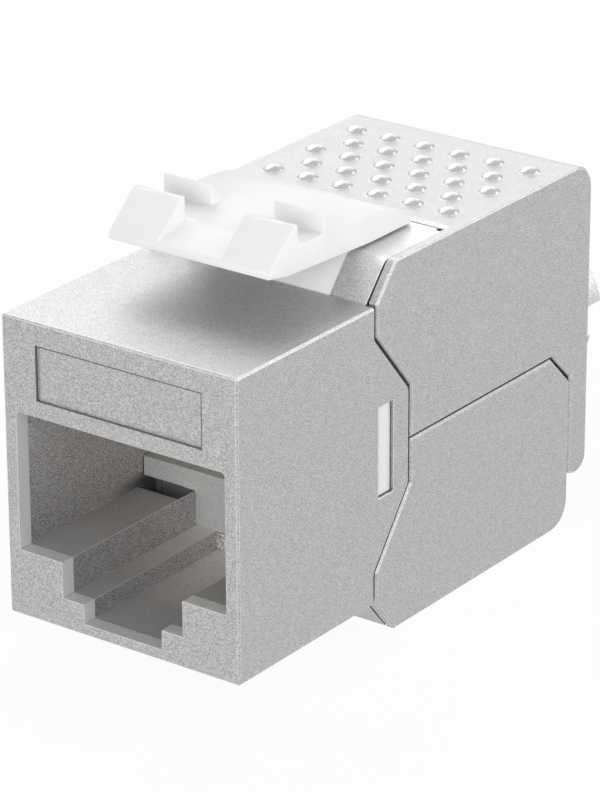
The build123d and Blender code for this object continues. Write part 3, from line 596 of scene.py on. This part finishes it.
def board_finish(rgb):
    """Green solder mask with the weave of the glass cloth showing through."""
    finish = Finish("solder_mask")
    x, _, z = finish.places()
    weave, weft = ((place * WEAVE_RATE).maths("SINE") for place in (x, z))
    cloth = weave * weft * 0.5 + 0.5
    return finish.principled(
        Base_Color=finish.blend_colours(cloth, shade(rgb, WEAVE_SHADES[0]), shade(rgb, WEAVE_SHADES[1])),
        Roughness=BOARD_ROUGHNESS,
        Normal=finish.bump(cloth, WEAVE_RELIEF, RELIEF_STRENGTH),
    )


# Plated metal: sizes of its rolling marks and of its patches in millimetres, and how they show
MARK_SIZE = 0.05
PATCH_SIZE = 0.9
PATCH_SHADES = (0.92, 1.05)
MARK_ROUGHNESS = 0.12
MARK_RELIEF = 0.003


def plated_finish(name, rgb, roughness):
    """Plated metal with fine rolling marks and faint patches."""
    finish = Finish(name)
    marks, patches = finish.noise(MARK_SIZE), finish.noise(PATCH_SIZE)
    return finish.principled(
        Base_Color=finish.blend_colours(patches, shade(rgb, PATCH_SHADES[0]), shade(rgb, PATCH_SHADES[1])),
        Metallic=1.0,
        Roughness=marks * MARK_ROUGHNESS + roughness,
        Normal=finish.bump(marks, MARK_RELIEF, RELIEF_STRENGTH),
    )


def dress(nodes, material):
    """Gives CAD nodes a material in their own slots."""
    for name in nodes:
        mesh = frame["nodes"][name].data
        mesh.materials.clear()
        mesh.materials.append(material)


def deselect():
    """Leaves no object selected."""
    for item in bpy.context.scene.objects:
        item.select_set(False)


def start_box(low, high, name):
    """A cube primitive that fills the space between two corners, ready for edit mode."""
    deselect()
    low, high = Vector(low), Vector(high)
    bpy.ops.mesh.primitive_cube_add(size=1, location=(low + high) / 2)
    piece = bpy.context.object
    piece.name = name
    piece.scale = high - low
    bpy.ops.object.transform_apply(location=True, rotation=True, scale=True)
    return piece


def choose(piece, mode, wanted):
    """Selects the vertices whose place, or the edges whose middle and direction, pass a test."""
    bpy.ops.object.mode_set(mode="EDIT")
    bpy.ops.mesh.select_mode(type=mode)
    bpy.ops.mesh.select_all(action="DESELECT")
    bpy.ops.object.mode_set(mode="OBJECT")
    mesh = piece.data
    if mode == "VERT":
        for vertex in mesh.vertices:
            vertex.select = wanted(vertex.co)
    else:
        for edge in mesh.edges:
            first, last = (mesh.vertices[index].co for index in edge.vertices)
            edge.select = wanted((first + last) / 2, (last - first).normalized())
    bpy.ops.object.mode_set(mode="EDIT")


def slice_piece(piece, along, places):
    """Cuts edge loops square to an axis at the given places."""
    normal = Vector()
    normal[along] = 1
    bpy.context.view_layer.objects.active = piece
    bpy.ops.object.mode_set(mode="EDIT")
    for place in places:
        bpy.ops.mesh.select_all(action="SELECT")
        bpy.ops.mesh.bisect(plane_co=normal * place, plane_no=normal)
    bpy.ops.object.mode_set(mode="OBJECT")


def shift(piece, wanted, offset):
    """Moves the vertices that pass a test."""
    choose(piece, "VERT", wanted)
    bpy.ops.transform.translate(value=offset)
    bpy.ops.object.mode_set(mode="OBJECT")


def near(value, target, reach=NEAR_REACH):
    """Whether two lengths are the same within a small reach."""
    return abs(value - target) < reach


def apply_modifier(piece, kind, **settings):
    """Adds a modifier with its settings and applies it."""
    deselect()
    piece.select_set(True)
    bpy.context.view_layer.objects.active = piece
    modifier = piece.modifiers.new(kind.lower(), kind)
    for name, value in settings.items():
        setattr(modifier, name, value)
    bpy.ops.object.modifier_apply(modifier=modifier.name)


def combine(piece, other, operation):
    """Unites a piece with another, or keeps what they share, and removes the other."""
    apply_modifier(piece, "BOOLEAN", operation=operation, solver="EXACT", object=other)
    bpy.data.objects.remove(other)


def tidy_mesh(piece):
    """Merges doubles and turns the faces outwards."""
    bpy.context.view_layer.objects.active = piece
    bpy.ops.object.mode_set(mode="EDIT")
    bpy.ops.mesh.select_all(action="SELECT")
    bpy.ops.mesh.remove_doubles(threshold=MERGE_REACH)
    bpy.ops.mesh.normals_make_consistent(inside=False)
    bpy.ops.object.mode_set(mode="OBJECT")


def dissolve_flat(piece):
    """Removes the edges that divide flat faces, so that a bevel finds only real edges."""
    bpy.context.view_layer.objects.active = piece
    bpy.ops.object.mode_set(mode="EDIT")
    bpy.ops.mesh.select_all(action="SELECT")
    bpy.ops.mesh.dissolve_limited(angle_limit=FLAT_ANGLE)
    bpy.ops.object.mode_set(mode="OBJECT")


def latch_top(sizes, top, place):
    """Height of the plate's top at a place along it, without ramps and stops."""
    ramp_rear = LATCH_LOW.y + sizes.ramp_length * MM
    stop_rear = ramp_rear + (sizes.catch_gap + sizes.stop_length) * MM
    middle = tail_middle(sizes)
    if place < ramp_rear:
        return top - sizes.lip_drop * MM * (ramp_rear - place) / (ramp_rear - LATCH_LOW.y)
    if place < stop_rear:
        return top
    if place < middle:
        return top - sizes.plate_fall * MM * (place - stop_rear) / (middle - stop_rear)
    radius = sizes.tail_radius * MM
    centre = top - sizes.plate_fall * MM - radius
    return centre + math.sqrt(radius ** 2 - (place - middle) ** 2)


def latch_under(sizes, top, place):
    """Height of the plate's underside at a place along it."""
    lip = (sizes.lip_drop + sizes.lip_height) * MM
    belly = LATCH_LOW.y + sizes.belly_run * MM
    level = level_start(sizes)
    if place < belly:
        along = (place - LATCH_LOW.y) / (belly - LATCH_LOW.y)
        return top - lip - (sizes.belly_drop * MM - lip) * along
    along = min(1.0, (place - belly) / (level - belly))
    return top - (sizes.belly_drop + (sizes.under_drop - sizes.belly_drop) * along) * MM


def level_start(sizes):
    """Where the plate's underside becomes level, over the back of the leg."""
    return LATCH_LOW.y + (sizes.leg_front + sizes.leg_depth) * MM


def tail_run(sizes):
    """Length of the tail's rounding, which ends at the top of the blunt nose."""
    drop = sizes.under_drop - sizes.plate_fall - sizes.tail_radius - sizes.tail_nose
    return math.sqrt(sizes.tail_radius ** 2 - drop ** 2) * MM


def tail_middle(sizes):
    """Where the tail's rounding starts."""
    return LATCH_HIGH.y - tail_run(sizes)


# How near a vertex must be to a station of the plate, how far the tail's plan stands clear of it,
# and how deep the ramps and stops root in the plate, in metres
STATION_REACH = 0.004 * MM
PLAN_MARGIN = 0.01 * MM
PLAN_REACH = 2 * MM
RAMP_ROOT = 0.95 * MM
STOP_ROOT = 0.3 * MM


def latch_plate(sizes, top):
    """Plate of the latch: stations cut across it, then raised or lowered to its outline."""
    side = sizes.plate_width / 2 * MM
    front, rear = LATCH_LOW.y, LATCH_HIGH.y
    under = top - sizes.under_drop * MM
    plate = start_box((-side, front, under), (side, rear, top), "latch_moulding")
    middle = tail_middle(sizes)
    ramp_rear = front + sizes.ramp_length * MM
    stop_rear = ramp_rear + (sizes.catch_gap + sizes.stop_length) * MM
    radius = sizes.tail_radius * MM
    turn = math.asin(tail_run(sizes) / radius) / TAIL_STEPS
    tail = [middle + radius * math.sin(turn * n) for n in range(TAIL_STEPS)]
    stations = [front + sizes.belly_run * MM, ramp_rear, stop_rear, level_start(sizes), *tail]
    slice_piece(plate, 1, stations)
    for place in [front, *stations, rear]:
        rise = latch_top(sizes, top, place) - top
        lift = latch_under(sizes, top, place) - under
        for level, offset in ((top, rise), (under, lift)):
            shift(
                plate,
                lambda co: near(co.y, place, STATION_REACH) and near(co.z, level),
                (0, 0, offset),
            )
    tidy_mesh(plate)
    return plate


def latch_tail_plan(sizes):
    """Upright block with two rounded corners that gives the tail its plan."""
    side = sizes.plate_width / 2 * MM + PLAN_MARGIN
    rear = LATCH_HIGH.y + PLAN_MARGIN
    low = (-side, LATCH_LOW.y - PLAN_REACH, LATCH_LOW.z - PLAN_REACH)
    plan = start_box(low, (side, rear, LATCH_HIGH.z + PLAN_REACH), "tail_plan")
    choose(plan, "EDGE", lambda middle, way: abs(way.z) > UPRIGHT and near(middle.y, rear))
    bpy.ops.mesh.bevel(offset=sizes.tail_corner * MM, segments=CORNER_STEPS, affect="EDGES")
    bpy.ops.object.mode_set(mode="OBJECT")
    return plan


def side_block(sizes, side, front, rear, low, high, name):
    """Block as wide as a ramp, at one side of the plate."""
    middle = side * (sizes.plate_width - sizes.ramp_width) / 2 * MM
    half = sizes.ramp_width / 2 * MM
    return start_box((middle - half, front, low), (middle + half, rear, high), name)


def latch_ramp(sizes, top, side):
    """Ramp that the panel's edge slides over."""
    front = LATCH_LOW.y
    rear = front + sizes.ramp_length * MM
    crest = top + sizes.ramp_height * MM
    ramp = side_block(sizes, side, front, rear, top - RAMP_ROOT, crest, "latch_ramp")
    slice_piece(ramp, 1, [rear - sizes.ramp_land * MM])
    lip_top = top - sizes.lip_drop * MM
    shift(ramp, lambda co: near(co.y, front) and near(co.z, crest), (0, 0, lip_top - crest))
    return ramp


def latch_stop(sizes, top, side):
    """Stop behind the panel's edge, with its sloping back."""
    front = LATCH_LOW.y + (sizes.ramp_length + sizes.catch_gap) * MM
    rear = front + sizes.stop_length * MM
    crest = LATCH_HIGH.z
    stop = side_block(sizes, side, front, rear, top - STOP_ROOT, crest, "latch_stop")
    slice_piece(stop, 1, [front + sizes.stop_land * MM])
    shift(stop, lambda co: near(co.y, rear) and near(co.z, crest), (0, 0, top - crest))
    return stop


def latch_leg(sizes, top):
    """Leg that stands in the neck's slot, with two pins."""
    half = sizes.leg_width / 2 * MM
    front = LATCH_LOW.y + sizes.leg_front * MM
    rear = front + sizes.leg_depth * MM
    head = top - sizes.belly_drop * MM
    lean_start = LATCH_LOW.z + sizes.leg_lean_start * MM
    leg = start_box((-half, front, LATCH_LOW.z), (half, rear, head), "latch_leg")
    slice_piece(leg, 2, [lean_start])
    shift(leg, lambda co: near(co.y, front) and near(co.z, head), (0, sizes.leg_lean * MM, 0))
    deselect()
    bpy.ops.mesh.primitive_cylinder_add(
        vertices=PIN_SIDES,
        radius=sizes.pin_radius * MM,
        depth=LATCH_HIGH.x - LATCH_LOW.x,
        location=(0, LATCH_LOW.y + sizes.pin_back * MM, LATCH_LOW.z + sizes.pin_rise * MM),
        rotation=(0, math.pi / 2, 0),
    )
    pins = bpy.context.object
    bpy.ops.object.transform_apply(location=True, rotation=True, scale=True)
    combine(leg, pins, "UNION")
    return leg


def latch_moulding(sizes):
    """Whole latch: its parts united, its edges rounded, and loops cut across it for its bending."""
    top = LATCH_HIGH.z - sizes.plate_drop * MM
    latch = latch_plate(sizes, top)
    combine(latch, latch_tail_plan(sizes), "INTERSECT")
    for side in (-1, 1):
        combine(latch, latch_ramp(sizes, top, side), "UNION")
        combine(latch, latch_stop(sizes, top, side), "UNION")
    combine(latch, latch_leg(sizes, top), "UNION")
    tidy_mesh(latch)
    dissolve_flat(latch)
    apply_modifier(
        latch,
        "BEVEL",
        width=sizes.edge_round * MM,
        segments=EDGE_STEPS,
        limit_method="ANGLE",
        angle_limit=SMOOTH_ANGLE,
        use_clamp_overlap=False,
    )
    front, rear = LATCH_LOW.y, LATCH_HIGH.y
    slice_piece(latch, 1, [front + (rear - front) * n / FLEX_STEPS for n in range(1, FLEX_STEPS)])
    tidy_mesh(latch)
    bpy.ops.object.shade_smooth_by_angle(angle=SMOOTH_ANGLE)
    return latch


# Roughness of the latch, the other mouldings, the gold and the tin
LATCH_ROUGHNESS = 0.3
MOULDING_ROUGHNESS = 0.38
GOLD_ROUGHNESS = 0.2
TIN_ROUGHNESS = 0.3


class JACK_OT_latch(bpy.types.Operator):
    """Models the white latch as one moulding, with loops cut across it so that it can bend at its leg"""

    bl_idname = "jack.latch"
    bl_label = "Model the latch"

    def execute(self, context):
        sizes = context.scene.latch_sizes
        white = context.scene.finish_colours.latch
        latch = latch_moulding(sizes)
        latch.data.materials.clear()
        latch.data.materials.append(moulding_finish("latch_white", white, LATCH_ROUGHNESS))
        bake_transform(latch)
        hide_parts("keystone_latch")
        return {"FINISHED"}


class JACK_OT_castings(bpy.types.Operator):
    """Gives the front housing and both doors their sand-blasted zinc"""

    bl_idname = "jack.castings"
    bl_label = "Finish the zinc castings"

    def execute(self, context):
        colours = context.scene.finish_colours
        grain = context.scene.grain_sizes
        places = context.scene.casting_places
        dress(["front_housing"], zinc_finish("housing_zinc", colours, grain, places, housing_marks))
        dress(DOORS, zinc_finish("door_zinc", colours, grain, places, door_marks))
        return {"FINISHED"}


class JACK_OT_mouldings(bpy.types.Operator):
    """Gives the insert, the terminal block and the wire cap their plastics"""

    bl_idname = "jack.mouldings"
    bl_label = "Finish the plastic mouldings"

    def execute(self, context):
        colours = context.scene.finish_colours
        places = context.scene.casting_places
        dress(["contact_carrier"], insert_finish(colours.insert, places))
        dress(["terminal_block"], moulding_finish("block_plastic", colours.block, MOULDING_ROUGHNESS))
        dress(["wire_cap"], moulding_finish("cap_plastic", colours.cap, MOULDING_ROUGHNESS))
        return {"FINISHED"}


class JACK_OT_electrics(bpy.types.Operator):
    """Gives the board, the spring contacts and the terminal blades their finishes"""

    bl_idname = "jack.electrics"
    bl_label = "Finish the board and the contacts"

    def execute(self, context):
        colours = context.scene.finish_colours
        numbers = range(1, CONTACT_COUNT + 1)
        dress(["circuit_board"], board_finish(colours.board))
        gold = plated_finish("contact_gold", colours.gold, GOLD_ROUGHNESS)
        tin = plated_finish("tinned_bronze", colours.tin, TIN_ROUGHNESS)
        dress([f"contact_{n}" for n in numbers], gold)
        dress([f"terminal_{n}" for n in numbers], tin)
        return {"FINISHED"}


# Camera at the photograph's viewing angle: place in the frame, turn, lens in millimetres, and reach in metres
CAMERA_PLACE = Vector((117.64, -163.35, 94.18)) * MM
CAMERA_AZIMUTH = math.radians(36.3726)
CAMERA_ELEVATION = math.radians(22.9195)
CAMERA_ROLL = math.radians(-0.2395)
CAMERA_LENS = 188.38
CAMERA_REACH = (0.01, 20)

# Soft boxes: name, place and size in metres, and power in watts
SOFT_BOXES = (
    ("rear_softbox", (-0.25, 0.34, 0.3), 0.5, 0.7),
    ("front_softbox", (0.05, -0.45, 0.1), 0.4, 1.45),
    ("side_softbox", (0.45, -0.1, 0.2), 0.35, 0.25),
    ("rear_side_fill", (0.4, 0.3, 0.25), 0.4, 1.4),
    ("left_overhead", (-0.35, 0.12, 0.42), 0.4, 0.75),
    ("right_overhead", (0.3, -0.3, 0.39), 0.35, 0.45),
)
LAMP_TARGET = Vector((0, 0, 0.01))

# Light of the world on the object, and the floor's size in metres, its colour and its share of glow
WORLD_LIGHT = 0.2
FLOOR_SIZE = 4
FLOOR_COLOUR = (0.92, 0.92, 0.92)
FLOOR_GLOW = 0.94


def camera_turn():
    """Rotation of the camera from its azimuth, elevation and roll."""
    az, el, roll = CAMERA_AZIMUTH, CAMERA_ELEVATION, CAMERA_ROLL
    ahead = Vector((-math.sin(az) * math.cos(el), math.cos(az) * math.cos(el), -math.sin(el)))
    level = Vector((math.cos(az), math.sin(az), 0))
    upright = level.cross(ahead)
    right = math.cos(roll) * level + math.sin(roll) * upright
    up = math.cos(roll) * upright - math.sin(roll) * level
    return Matrix((right, up, -ahead)).transposed()


def add_lamp(name, place, size, power):
    """Square soft box aimed at the jack."""
    lamp = bpy.data.lights.new(name, "AREA")
    lamp.shape = "SQUARE"
    lamp.size = size
    lamp.energy = power
    item = bpy.data.objects.new(name, lamp)
    bpy.context.scene.collection.objects.link(item)
    item.location = place
    item.rotation_euler = (LAMP_TARGET - Vector(place)).to_track_quat("-Z", "Y").to_euler()


class StageFinish(Finish):
    """Nodes of the world or the floor, which look white to the camera and to gloss."""

    def __init__(self, tree):
        self.tree = tree
        self.tree.nodes.clear()

    def seen(self):
        """1 for rays from the camera, in gloss or through glass, and 0 for light."""
        paths = self.node("ShaderNodeLightPath")
        outputs = paths.socket.node.outputs
        names = ("Is Camera Ray", "Is Glossy Ray", "Is Transmission Ray")
        camera, glossy, transmission = (Wire(self, outputs[name]) for name in names)
        return (camera + glossy + transmission).maths("MINIMUM", 1.0)


def white_world():
    """World that is white to the eye and lights the object at its own level."""
    world = bpy.data.worlds.new("pale_studio")
    bpy.context.scene.world = world
    world.use_nodes = True
    sky = StageFinish(world.node_tree)
    seen = sky.seen()
    level = seen + (1 - seen) * WORLD_LIGHT
    shader = sky.node("ShaderNodeBackground", None, {"Color": WHITE, "Strength": level})
    output = sky.tree.nodes.new("ShaderNodeOutputWorld")
    sky.tree.links.new(shader.socket, output.inputs["Surface"])


def pale_floor():
    """Wide floor that keeps a faint shadow and is otherwise white."""
    deselect()
    bpy.ops.mesh.primitive_plane_add(size=FLOOR_SIZE, location=(0, 0, 0))
    floor = bpy.context.object
    floor.name = "studio_floor"
    material = bpy.data.materials.new("pale_floor")
    material.use_nodes = True
    cover = StageFinish(material.node_tree)
    matt = cover.node("ShaderNodeBsdfDiffuse", None, {"Color": FLOOR_COLOUR})
    glow = cover.node("ShaderNodeEmission", None, {"Color": WHITE, "Strength": 1.0})
    inputs = {0: cover.seen() * FLOOR_GLOW, 1: matt, 2: glow}
    mixed = cover.node("ShaderNodeMixShader", None, inputs)
    cover.node_to_output(mixed)
    floor.data.materials.append(material)


class JACK_OT_stage(bpy.types.Operator):
    """Adds the pale floor, the soft lamps, the world and the camera"""

    bl_idname = "jack.stage"
    bl_label = "Set the stage"

    def execute(self, context):
        scene = context.scene
        pale_floor()
        white_world()
        for soft_box in SOFT_BOXES:
            add_lamp(*soft_box)
        view = bpy.data.cameras.new("photo_view")
        view.lens = CAMERA_LENS
        view.clip_start, view.clip_end = CAMERA_REACH
        camera = bpy.data.objects.new("photo_view", view)
        scene.collection.objects.link(camera)
        camera.matrix_world = Matrix.Translation(CAMERA_PLACE) @ camera_turn().to_4x4()
        scene.camera = camera
        scene.view_settings.view_transform = "Standard"
        return {"FINISHED"}


class JACK_PT_looks(bpy.types.Panel):
    """Panel in the 3D view's sidebar that lists the jack's operators and sizes"""

    bl_idname = "JACK_PT_looks"
    bl_label = "Keystone Jack"
    bl_space_type = "VIEW_3D"
    bl_region_type = "UI"
    bl_category = "Keystone Jack"

    def draw(self, context):
        scene = context.scene
        for operator in OPERATORS:
            self.layout.operator(operator.bl_idname)
        for place in GROUPS:
            group = getattr(scene, place)
            column = self.layout.column(align=True)
            for name in group.bl_rna.properties.keys():
                if name not in ("rna_type", "name"):
                    column.prop(group, name)


OPERATORS = (JACK_OT_castings, JACK_OT_mouldings, JACK_OT_electrics, JACK_OT_latch, JACK_OT_stage)
GROUPS = {
    "latch_sizes": LatchSizes,
    "finish_colours": FinishColours,
    "grain_sizes": GrainSizes,
    "casting_places": CastingPlaces,
}


def register():
    for item in (*GROUPS.values(), *OPERATORS, JACK_PT_looks):
        bpy.utils.register_class(item)
    for name, group in GROUPS.items():
        setattr(bpy.types.Scene, name, PointerProperty(type=group))


def unregister():
    for name in GROUPS:
        delattr(bpy.types.Scene, name)
    for item in reversed((*GROUPS.values(), *OPERATORS, JACK_PT_looks)):
        bpy.utils.unregister_class(item)


def main():
    register()
    bpy.ops.jack.castings()
    bpy.ops.jack.mouldings()
    bpy.ops.jack.electrics()
    bpy.ops.jack.latch()
    bpy.ops.jack.stage()


if __name__ == "__main__":
    main()
